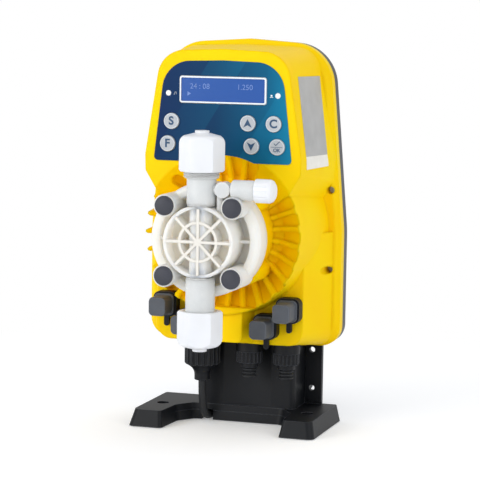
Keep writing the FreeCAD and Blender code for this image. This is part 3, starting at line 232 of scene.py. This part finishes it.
def printedFilm():
    # printed polycarbonate keypad film: navy at the left runs to teal, with slanted bands of lighter tone
    material, tree, shader, place = newMaterial("printedPolycarbonateFilm")
    axes = addNode(tree, "ShaderNodeSeparateXYZ", Vector=place)
    across = addNode(tree, "ShaderNodeMapRange", Value=axes.outputs["X"], From_Min=film["left"] * mm,
                     From_Max=film["right"] * mm)
    slope = addNode(tree, "ShaderNodeMath", dict(operation="MULTIPLY"), in0=axes.outputs["Z"],
                    in1=film["bandAngle"])
    slant = addNode(tree, "ShaderNodeMath", dict(operation="ADD"), in0=axes.outputs["X"],
                    in1=slope.outputs["Value"])
    band = addNode(tree, "ShaderNodeMath", dict(operation="PINGPONG"), in0=slant.outputs["Value"],
                   in1=film["bandWidth"] * mm)
    edge = addNode(tree, "ShaderNodeMapRange", Value=band.outputs["Value"],
                   From_Min=film["bandEdge"][0] * mm, From_Max=film["bandEdge"][1] * mm)
    base = ramp(tree, across.outputs["Result"],
                [(0.0, film["navy"]), (0.45, film["blue"]), (0.8, film["teal"]), (1.0, film["cyan"])])
    amount = addNode(tree, "ShaderNodeMath", dict(operation="MULTIPLY"), in0=edge.outputs["Result"],
                     in1=across.outputs["Result"])
    lift = addNode(tree, "ShaderNodeMath", dict(operation="MULTIPLY"), in0=amount.outputs["Value"],
                   in1=film["bandLift"])
    mixed = addNode(tree, "ShaderNodeMix", dict(data_type="RGBA"), Factor=lift.outputs["Value"],
                    in6=base, in7=linear(film["cyan"]))
    tree.links.new(mixed.outputs[2], shader.inputs["Base Color"])
    grain = addNode(tree, "ShaderNodeTexNoise", Vector=place, Scale=1 / (film["grainSize"] * mm), Detail=2.0)
    gloss = addNode(tree, "ShaderNodeMapRange", Value=grain.outputs["Fac"], To_Min=film["roughness"][0],
                    To_Max=film["roughness"][1])
    tree.links.new(gloss.outputs["Result"], shader.inputs["Roughness"])
    shader.inputs["IOR"].default_value = film["ior"]
    shader.inputs["Specular IOR Level"].default_value = film["shine"]
    return material


glass = dict(cell=(3.55, 6.2), light="#27509A", dark="#254D96", gap="#2C56A0", gapShare=0.03, glow=0.04,
             roughness=0.16, ior=1.49, shine=0.25)


def displayGlass():
    # blue liquid-crystal window: even glow with the faint grid of its character cells
    material, tree, shader, place = newMaterial("liquidCrystalWindow")
    width, height = glass["cell"]
    shift = addNode(tree, "ShaderNodeMapping", Vector=place, Scale=(1 / (width * mm), 1.0, 1 / (height * mm)))
    cells = addNode(tree, "ShaderNodeTexBrick", dict(offset=0.0, squash=1.0), Vector=shift.outputs["Vector"],
                    Color1=linear(glass["light"]), Color2=linear(glass["dark"]), Mortar=linear(glass["gap"]),
                    Scale=1.0, Mortar_Size=glass["gapShare"], Brick_Width=1.0, Row_Height=1.0)
    tree.links.new(cells.outputs["Color"], shader.inputs["Base Color"])
    tree.links.new(cells.outputs["Color"], shader.inputs["Emission Color"])
    shader.inputs["Emission Strength"].default_value = glass["glow"]
    shader.inputs["Roughness"].default_value = glass["roughness"]
    shader.inputs["IOR"].default_value = glass["ior"]
    shader.inputs["Specular IOR Level"].default_value = glass["shine"]
    return material


looks["film"] = printedFilm()
looks["glass"] = displayGlass()

finish = {
    "yellowPolypropylene": ["front_housing"],
    "greyNylon": ["rear_cover", "rear_gasket"],
    "blackNylon": ["stand", "gland_bodies", "power_gland_nut", "signal_gland_nut_left",
                   "signal_gland_nut_right", "signal_sockets", "display_module", "plunger_bush",
                   "coil_bobbin", "end_stop"],
    "greyRubber": ["bolt_caps"],
    "paleRubber": ["socket_cap_upper_left", "socket_cap_lower_left", "socket_cap_lower_right",
                   "socket_cap_upper_right"],
    "blackRubber": ["signal_gland_boots", "power_gland_seal", "foot_pads", "diaphragm", "power_plug",
                    "power_cord", "cord_coil"],
    "naturalFluoropolymer": ["pump_head", "backing_plate"],
    "clearFluoropolymer": ["discharge_valve_body", "suction_valve_body", "bleed_valve_body", "valve_seats",
                           "valve_gaskets", "hose_nipples"],
    "whitePolypropylene": ["discharge_hose_nut", "suction_hose_nut", "bleed_knob"],
    "silverKeys": ["key_stop", "key_function", "key_clear", "key_ok", "key_up", "key_down"],
    "silverBezel": ["display_bezel"],
    "greenBoard": ["control_board"],
    "darkComponents": ["board_components"],
    "whiteCeramic": ["discharge_ball", "suction_ball"],
    "lightPipe": ["status_lights"],
    "zincSteel": ["head_bolts", "housing_screws", "stand_screws", "plunger_shaft", "plunger_armature",
                  "pole_piece", "solenoid_yoke", "return_spring"],
    "turnedBrass": ["guide_sleeve"],
    "enamelledCopper": ["coil_winding"],
    "film": ["keypad_panel"],
    "glass": ["display_window"],
}
for look, members in finish.items():
    for name in members:
        mesh = nodes[name].data
        mesh.materials.clear()
        mesh.materials.append(looks[look])
print("materials:", len(looks))


camera = dict(azimuth=17.538, elevation=6.499, roll=0.866, lens=155.64, distance=1541.0,
              target=(14.818, facePlane, 147.621))


def placeCamera():
    # a long lens a metre and a half away, turned to the right of the pump and a little above it
    azimuth, elevation = math.radians(camera["azimuth"]), math.radians(camera["elevation"])
    back = Vector((math.sin(azimuth) * math.cos(elevation), -math.cos(azimuth) * math.cos(elevation),
                   math.sin(elevation)))
    eye = Vector(camera["target"]) + back * camera["distance"]
    data = bpy.data.cameras.new("photoCamera")
    data.lens = camera["lens"]
    data.sensor_width = 36.0
    data.clip_end = 20.0
    holder = bpy.data.objects.new("photoCamera", data)
    turn = back.to_track_quat("Z", "Y").to_matrix().to_4x4()
    holder.matrix_world = (Matrix.Translation(eye * mm) @ turn
                           @ Matrix.Rotation(math.radians(camera["roll"]), 4, "Z"))
    bpy.context.collection.objects.link(holder)
    bpy.context.scene.camera = holder


placeCamera()

# slack: the smooth line is a little shorter than the runs between its points
cord = dict(diameter=6.0, exit=(-24.5, 33.0), lie=3.2, centre=(-4.0, 131.0), turnRadii=(27.2, 33.4, 39.6),
            turns=(0.06, 5.9), pointsPerTurn=16, upperLayer=9.2, lastTurn=(15.4, 16.0), plugHeight=18.2,
            plugX=-31.0, plugY=(127.5, 131.0), slack=0.985)


def cordPoints():
    # the route from the gland under the stand, then six turns in two layers, and up to the plug on the coil
    x, y = cord["exit"]
    lie, upper, top = cord["lie"], cord["upperLayer"], cord["plugHeight"]
    edge = cord["centre"][0] - 39.0
    route = [(x, y, 50.0), (x, y + 0.2, 32.0), (x, y + 1.5, 17.0), (x, y + 6.5, 6.6), (x, y + 17.0, lie),
             (x, y + 34.0, lie), (x - 1.5, y + 54.0, lie), (edge + 6.0, y + 73.0, lie),
             (edge - 0.3, y + 90.0, lie)]
    inner, middle, outer = cord["turnRadii"]
    turn = np.arange(*cord["turns"], 1 / cord["pointsPerTurn"])
    radius = np.interp(turn, [0, 0.87, 1, 1.87, 2, 3.7, 3.82, 4.7, 4.82, 5.35, 5.9],
                       [outer, outer, middle, middle, inner, inner, middle, middle, outer, outer,
                        inner + 0.4])
    height = np.interp(turn, [0, 2.87, 3, 5.15, 5.4, 5.75, 5.95],
                       [lie, lie, upper, upper, *cord["lastTurn"], top])
    angle = np.pi - 2 * np.pi * turn
    coil = np.stack([cord["centre"][0] + radius * np.cos(angle), cord["centre"][1] + radius * np.sin(angle),
                     height], 1)
    end = [(cord["plugX"], depth, top) for depth in cord["plugY"]]
    points = np.concatenate([np.array(route), coil, np.array(end)])
    return (points + np.array([0.0, facePlane, 0.0])) * mm


def makeCord():
    # one NURBS curve through the route and the coil, as thick as the real lead
    points = cordPoints()
    curve = bpy.data.curves.new("mainsLead", "CURVE")
    curve.dimensions = "3D"
    spline = curve.splines.new("NURBS")
    spline.points.add(len(points) - 1)
    spline.points.foreach_set("co", np.concatenate([points, np.ones((len(points), 1))], 1).ravel())
    spline.order_u = 3
    spline.use_endpoint_u = True
    spline.resolution_u = 4
    curve.bevel_depth = cord["diameter"] / 2 * mm
    curve.bevel_resolution = 4
    curve.use_fill_caps = True
    lead = bpy.data.objects.new("mains_lead", curve)
    bpy.context.collection.objects.link(lead)
    curve.materials.append(looks["blackRubber"])
    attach(lead, "pump_body")
    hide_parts("power_cord", "cord_coil")


makeCord()


def meshPiece(name, verts, faces, look, body):
    # a mesh object with one material that rides on a body
    mesh = bpy.data.meshes.new(name)
    mesh.from_pydata([tuple(v) for v in verts], [], [tuple(f) for f in faces])
    mesh.materials.append(looks[look])
    mesh.update()
    piece = bpy.data.objects.new(name, mesh)
    bpy.context.collection.objects.link(piece)
    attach(piece, body)
    return piece


marks = dict(proud=0.03, inkTop=-0.05, inkFoot=-0.01, keyFace=-2.1, bold=0.28, smallBold=0.1,
             letterSize=8.6, smallSize=3.6,
             letters={"key_stop": "S", "key_function": "F", "key_clear": "C"},
             arrows={"key_up": 1, "key_down": -1},
             keys={"key_stop": (-39.7, 234.4), "key_function": (-42.6, 217.6), "key_clear": (39.7, 234.4),
                   "key_ok": (42.6, 217.6), "key_up": (19.9, 234.4), "key_down": (22.8, 217.6)})
keyRim = dict(inner=5.0, outer=5.75, rise=0.16)


def textMark(name, text, x, y, z, size, look, body, bold):
    # text lying flat on a face that looks forwards, y being that face
    curve = bpy.data.curves.new(name, "FONT")
    curve.body = text
    curve.align_x, curve.align_y = "CENTER", "CENTER"
    curve.size = size * mm
    curve.extrude = 0.02 * mm
    curve.offset = bold * mm
    made = bpy.data.objects.new(name + "_text", curve)
    bpy.context.collection.objects.link(made)
    bpy.context.view_layer.update()
    mesh = bpy.data.meshes.new_from_object(made)
    bpy.data.objects.remove(made)
    mesh.name = name
    mesh.transform(Matrix.Translation((x * mm, (facePlane + y - marks["proud"]) * mm, z * mm))
                   @ Matrix.Rotation(math.pi / 2, 4, "X"))
    mesh.materials.clear()
    mesh.materials.append(looks[look])
    piece = bpy.data.objects.new(name, mesh)
    bpy.context.collection.objects.link(piece)
    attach(piece, body)


def flatMark(name, shapes, y, look, body):
    # thin prisms proud of a forward face; each shape is a convex outline, anticlockwise from the front
    verts, faces = [], []
    for shape in shapes:
        outline = np.array(shape, float)
        count, start = len(outline), len(verts)
        for depth in (marks["inkTop"], marks["inkFoot"]):
            verts += [(u * mm, (facePlane + y + depth) * mm, v * mm) for u, v in outline]
        faces.append([start + i for i in range(count)])
        faces.append([start + count + i for i in reversed(range(count))])
        faces += [[start + (i + 1) % count, start + i, start + i + count, start + (i + 1) % count + count]
                  for i in range(count)]
    return meshPiece(name, verts, faces, look, body)


def stroke(a, b, width):
    # the outline of a straight stroke from a to b
    a, b = np.array(a, float), np.array(b, float)
    side = np.array([b[1] - a[1], a[0] - b[0]]) / np.linalg.norm(b - a) * width / 2
    return [a + side, b + side, b - side, a - side]


arrow = dict(tip=3.3, foot=-3.0, notch=-1.3, half=3.25)


def arrowShapes(x, z, way):
    # a notched arrowhead in two halves, point up or down
    tip, foot, notch, half = arrow["tip"] * way, arrow["foot"] * way, arrow["notch"] * way, arrow["half"]
    left = [(x, z + tip), (x - half, z + foot), (x, z + notch)]
    right = [(x, z + tip), (x, z + notch), (x + half, z + foot)]
    return [left, right] if way > 0 else [left[::-1], right[::-1]]


def turnedRing(name, x, z, profile, look, body, steps=64):
    # a profile of (radius, y) points carried once round a line that runs forwards through (x, z)
    angle = np.linspace(0, 2 * np.pi, steps, endpoint=False)
    r, y = np.array(profile).T
    around = np.stack([x + np.outer(np.cos(angle), r), np.broadcast_to(facePlane + y, (steps, len(r))),
                       z + np.outer(np.sin(angle), r)], -1)
    index = np.arange(steps * len(r)).reshape(steps, len(r))
    after, up = np.roll(index, -1, 0), np.roll(index, -1, 1)
    quads = np.stack([index, up, np.roll(up, -1, 0), after], -1).reshape(-1, 4)
    return meshPiece(name, around.reshape(-1, 3) * mm, quads, look, body)


def keyMark(key, x, z):
    # what is printed on one key: a letter, an arrowhead, or OK under a line and a tick
    face, cap = marks["keyFace"], key + "_cap"
    if key in marks["letters"]:
        textMark(key + "_mark", marks["letters"][key], x, face, z, marks["letterSize"], "blueInk", cap,
                 marks["bold"])
    elif key in marks["arrows"]:
        flatMark(key + "_mark", arrowShapes(x, z, marks["arrows"][key]), face, "blueInk", cap)
    else:
        textMark(key + "_mark", "OK", x, face, z - 2.4, marks["smallSize"], "blueInk", cap,
                 marks["smallBold"])
        line = stroke((x - 4.3, z), (x + 4.3, z), 0.35)
        tick = [stroke((x - 2.2, z + 2.7), (x - 0.7, z + 1.3), 0.6),
                stroke((x - 0.9, z + 1.2), (x + 2.3, z + 4.2), 0.6)]
        flatMark(key + "_line", [line] + tick, face, "blueInk", cap)


def keyRing(key, x, z):
    # the rim round a key, as a small rounded step on its cap, painted lighter than the key as its highlight
    face, inner, outer = marks["keyFace"], keyRim["inner"], keyRim["outer"]
    top = face - keyRim["rise"]
    profile = [(inner, face + 0.1), (inner, face - keyRim["rise"] * 0.5), (inner + 0.2, top),
               (outer - 0.35, top), (outer, face), (outer, face + 0.7)]
    turnedRing(key + "_rim", x, z, profile, "silverRimHighlight", key + "_cap")


for key, (x, z) in marks["keys"].items():
    keyMark(key, x, z)
    keyRing(key, x, z)
print("key marks made")

ribs = dict(count=8, reach=24.3, width=2.1, back=-53.8, front=-54.7, hubInner=12.95, hubOuter=15.05)


def headRibs():
    # raised ribs across the head: each arm of the star has two end corners and the corner where it meets the
    # next, and a ring ties them round the hub
    step = 2 * np.pi / ribs["count"]
    arm, half = np.arange(ribs["count"]) * step, ribs["width"] / 2
    along = np.stack([np.cos(arm), np.sin(arm)], 1)
    aside = np.stack([-np.sin(arm), np.cos(arm)], 1) * half
    valley = np.stack([np.cos(arm + step / 2), np.sin(arm + step / 2)], 1) * half / math.sin(step / 2)
    tip = along * ribs["reach"]
    outline = np.stack([tip - aside, tip + aside, valley], 1).reshape(-1, 2)
    count = len(outline)
    verts = [(u * mm, (facePlane + y) * mm, (pumpAxis + v) * mm)
             for y in (ribs["front"], ribs["back"]) for u, v in outline]
    faces = [list(range(count)), list(range(2 * count - 1, count - 1, -1))]
    faces += [[(i + 1) % count, i, i + count, (i + 1) % count + count] for i in range(count)]
    meshPiece("head_ribs", verts, faces, "thinFluoropolymer", "pump_body")
    inner, outer, top = ribs["hubInner"], ribs["hubOuter"], ribs["front"] + 0.08
    profile = [(inner, ribs["back"]), (inner, top + 0.15), (inner + 0.2, top), (outer - 0.2, top),
               (outer, top + 0.15), (outer, ribs["back"])]
    turnedRing("head_hub_ring", 0.0, pumpAxis, profile, "thinFluoropolymer", "pump_body")


headRibs()

thread = dict(low=197.1, high=201.4, radius=12.6, pitch=1.8, height=0.75, halfWidth=0.8, sunk=0.1,
              axisY=-47.0, steps=160, taper=12, slimmest=0.02)


def threadRidge():
    # a helix round the valve: a three-sided ridge that climbs one pitch a turn and thins out at both ends
    turns = (thread["high"] - thread["low"]) / thread["pitch"]
    t = np.linspace(0, 1, thread["steps"])
    angle = 2 * np.pi * turns * t
    swell = np.clip(np.minimum(t, 1 - t) * thread["taper"], thread["slimmest"], 1)
    foot, half = -thread["sunk"] * swell, thread["halfWidth"] * swell
    out = np.stack([foot, thread["height"] * swell, foot], 1) + thread["radius"]
    up = np.stack([-half, 0 * swell, half], 1)
    up += (thread["low"] + thread["pitch"] * turns * t)[:, None]
    x = out * np.cos(angle)[:, None]
    y = out * np.sin(angle)[:, None] + facePlane + thread["axisY"]
    index = np.arange(len(t) * 3).reshape(-1, 3)
    after = np.roll(index, -1, 1)
    quads = np.stack([index[:-1], index[1:], after[1:], after[:-1]], -1).reshape(-1, 4)
    ends = [tuple(index[0]), tuple(index[-1, ::-1])]
    meshPiece("discharge_thread", np.stack([x, y, up], -1).reshape(-1, 3) * mm, list(quads) + ends,
              "clearFluoropolymer", "pump_body")


threadRidge()

lamps = dict(x=42.5, z=255.2, film=-0.6, ring=[(1.5, -0.61), (1.55, -0.68), (2.0, -0.68), (2.1, -0.61)],
             pulse=[(-38.6, 254.4), (-37.6, 254.4), (-37.6, 256.0), (-36.4, 256.0), (-36.4, 254.4)],
             level=[((36.4, 254.0), (38.8, 254.0), 0.4), ((36.9, 255.2), (38.3, 255.2), 1.2)])


def lampMarks():
    # a square pulse beside the left lamp, a filled level beside the right one, and a ring round each
    pulse = [stroke(a, b, 0.35) for a, b in zip(lamps["pulse"], lamps["pulse"][1:])]
    flatMark("pulse_symbol", pulse, lamps["film"], "silverKeys", "pump_body")
    level = [stroke(a, b, width) for a, b, width in lamps["level"]]
    flatMark("level_symbol", level, lamps["film"], "whiteInk", "pump_body")
    for side, name in ((-1, "left_lamp_ring"), (1, "right_lamp_ring")):
        turnedRing(name, side * lamps["x"], lamps["z"], lamps["ring"], "whiteInk", "pump_body")


lampMarks()

display = dict(face=-0.6, textHeight=260.6, size=5.6, bold=0.02,
               words=[("display_count", "24 : 08", -18.0), ("display_rate", "1.250", 17.0)],
               pointer=[(-27.6, 253.6), (-24.8, 255.2), (-27.6, 256.8)])
for name, words, x in display["words"]:
    textMark(name, words, x, display["face"], display["textHeight"], display["size"], "segmentInk",
             "pump_body", display["bold"])
flatMark("display_pointer", [display["pointer"]], display["face"], "segmentInk", "pump_body")
print("display marks made")

# corners as (Y, Z) from the front low corner anticlockwise, in mm
plate = dict(corners=((9.2, 210.6), (44.7, 210.4), (52.5, 268.7), (13.7, 269.1)),
             strip=((10.2, 200.9), (46.9, 201.5), (44.7, 210.4), (9.2, 210.6)), thickness=0.6, lift=-0.3,
             wallFront=6.0, wallHeights=[200, 206, 212, 220, 262, 272],
             wallX=[61.56, 61.75, 61.36, 60.09, 53.39, 51.8], flareHeights=[200, 212, 220, 262],
             flare=[0.1753, 0.1718, 0.1673, 0.1447])


def blankPlate(name, corners, look):
    # a bare plate on the console's right wall: a grid blended between four corners, each point of which
    # takes its X from the wall, which leans in with height and flares towards the back
    u, v = np.meshgrid(np.linspace(0, 1, 14), np.linspace(0, 1, 24))
    weights = np.stack([(1 - u) * (1 - v), u * (1 - v), u * v, (1 - u) * v], -1)
    y, z = np.moveaxis(weights @ np.array(corners), -1, 0)
    x = np.interp(z, plate["wallHeights"], plate["wallX"]) + plate["lift"]
    x += (y - plate["wallFront"]) * np.interp(z, plate["flareHeights"], plate["flare"])
    rows, columns = x.shape
    inner = np.stack([x, y + facePlane, z], -1).reshape(-1, 3) * mm
    outer = inner + np.array([plate["thickness"] * mm, 0, 0])
    index = np.arange(rows * columns).reshape(rows, columns)
    quads = np.stack([index[:-1, :-1], index[:-1, 1:], index[1:, 1:], index[1:, :-1]], -1).reshape(-1, 4)
    rim = np.concatenate([index[0, :], index[1:, -1], index[-1, -2::-1], index[-2:0:-1, 0]])
    rimNext = np.roll(rim, -1)
    top = rows * columns
    sides = np.stack([rim, rimNext, rimNext + top, rim + top], -1)
    faces = np.concatenate([quads + top, quads[:, ::-1], sides])
    return meshPiece(name, np.concatenate([inner, outer]), faces, look, "pump_body")


blankPlate("side_plate", plate["corners"], "silverPlate")
blankPlate("side_strip", plate["strip"], "whiteFilm")
print("side plate made")


studio = dict(white="#FFFFFF", paper="#F1F3F6", floorHalf=6.0, aimHeight=0.15, floorGlow=0.24, sky=0.72,
              fadeFrom=0.14, fadeTo=0.5,
              lamps={"keyLamp": ((-1.0, -1.45, 0.6), 13.5, 0.9), "fillLamp": ((1.4, -0.8, 0.5), 5.5, 1.0),
                     "backLamp": ((0.3, 1.0, 1.3), 3.0, 1.0)})


def makeStudio():
    # white sweep that stays white to the camera and keeps the soft shadow under the pump
    size = studio["floorHalf"]
    mesh = bpy.data.meshes.new("floor")
    mesh.from_pydata([(-size, -size, 0), (size, -size, 0), (size, size, 0), (-size, size, 0)], [],
                     [(0, 1, 2, 3)])
    material = bpy.data.materials.new("whitePaperSweep")
    material.use_nodes = True
    tree = material.node_tree
    tree.nodes.clear()
    paper = addNode(tree, "ShaderNodeBsdfDiffuse", Color=linear(studio["paper"]))
    glow = addNode(tree, "ShaderNodeEmission", Color=linear(studio["white"]), Strength=studio["floorGlow"])
    both = addNode(tree, "ShaderNodeAddShader", in0=paper.outputs["BSDF"], in1=glow.outputs["Emission"])
    path = addNode(tree, "ShaderNodeLightPath")
    place = addNode(tree, "ShaderNodeTexCoord").outputs["Object"]
    away = addNode(tree, "ShaderNodeVectorMath", dict(operation="LENGTH"), in0=place)
    fade = addNode(tree, "ShaderNodeMapRange", Value=away.outputs["Value"], From_Min=studio["fadeFrom"],
                   From_Max=studio["fadeTo"])
    plain = addNode(tree, "ShaderNodeEmission", Color=linear(studio["white"]), Strength=1.0)
    faded = addNode(tree, "ShaderNodeMixShader", in0=fade.outputs["Result"], in1=both.outputs["Shader"],
                    in2=plain.outputs["Emission"])
    sees = addNode(tree, "ShaderNodeMath", dict(operation="MAXIMUM"), in0=path.outputs["Is Camera Ray"],
                   in1=path.outputs["Is Glossy Ray"])
    pick = addNode(tree, "ShaderNodeMixShader", in0=sees.outputs["Value"], in1=paper.outputs["BSDF"],
                   in2=faded.outputs["Shader"])
    addNode(tree, "ShaderNodeOutputMaterial", Surface=pick.outputs["Shader"])
    mesh.materials.append(material)
    floor = bpy.data.objects.new("floor", mesh)
    bpy.context.collection.objects.link(floor)

    world = bpy.data.worlds.new("studioSky")
    world.use_nodes = True
    tree = world.node_tree
    tree.nodes.clear()
    path = addNode(tree, "ShaderNodeLightPath")
    seen = addNode(tree, "ShaderNodeMath", dict(operation="MAXIMUM"), in0=path.outputs["Is Camera Ray"],
                   in1=path.outputs["Is Transmission Ray"])
    strength = addNode(tree, "ShaderNodeMapRange", Value=seen.outputs["Value"], To_Min=studio["sky"],
                       To_Max=1.0)
    sky = addNode(tree, "ShaderNodeBackground", Color=linear(studio["white"]),
                  Strength=strength.outputs["Result"])
    addNode(tree, "ShaderNodeOutputWorld", Surface=sky.outputs["Background"])
    bpy.context.scene.world = world

    for name, (place, energy, width) in studio["lamps"].items():
        lamp = bpy.data.lights.new(name, "AREA")
        lamp.energy = energy
        lamp.size = width
        holder = bpy.data.objects.new(name, lamp)
        aim = (Vector(place) - Vector((0.0, 0.0, studio["aimHeight"]))).to_track_quat("Z", "Y")
        holder.matrix_world = Matrix.Translation(place) @ aim.to_matrix().to_4x4()
        bpy.context.collection.objects.link(holder)


makeStudio()
bpy.context.scene.view_settings.view_transform = "Standard"
print("studio set")
